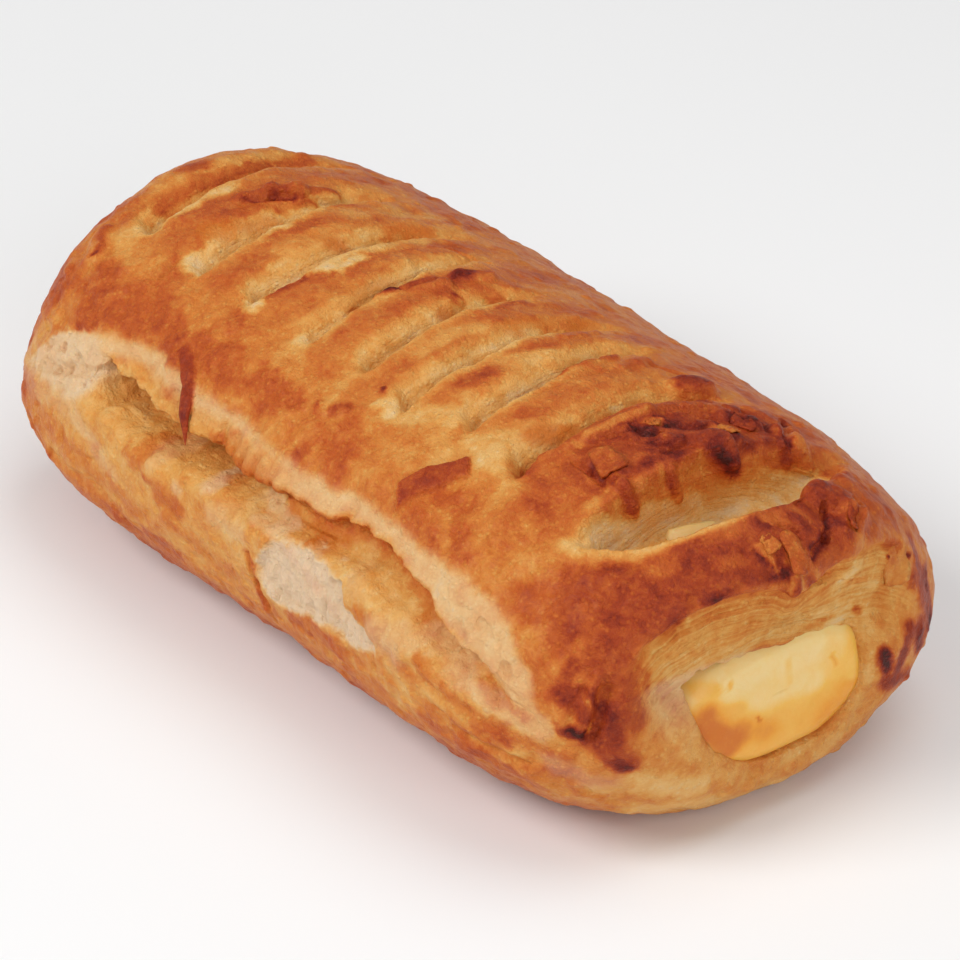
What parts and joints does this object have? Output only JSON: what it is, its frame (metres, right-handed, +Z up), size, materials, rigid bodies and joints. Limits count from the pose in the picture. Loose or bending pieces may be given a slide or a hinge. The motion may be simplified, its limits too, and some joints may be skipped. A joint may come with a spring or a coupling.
{
  "type": "cream cheese pastry",
  "caption": "Oblong puff pastry folded over a cream cheese filling, slashed across its top, with a seam along one side and the filling showing at the ends.",
  "frame": {"origin": "centre of the bounding box in plan, on the flat underside that the pastry rests on", "axes": "+X along the pastry towards the end that shows the filling widest, +Z up, -Y the side with the seam"},
  "size_m": [0.1391, 0.0818, 0.0468],
  "materials": {
    "baked_dough": "glazed, browned and flaky puff pastry, satin",
    "cream_cheese": "smooth baked cream cheese, soft sheen"
  },
  "bodies": {
    "root": {"dough": "baked_dough", "filling": "cream_cheese"}
  },
  "joints": []
}
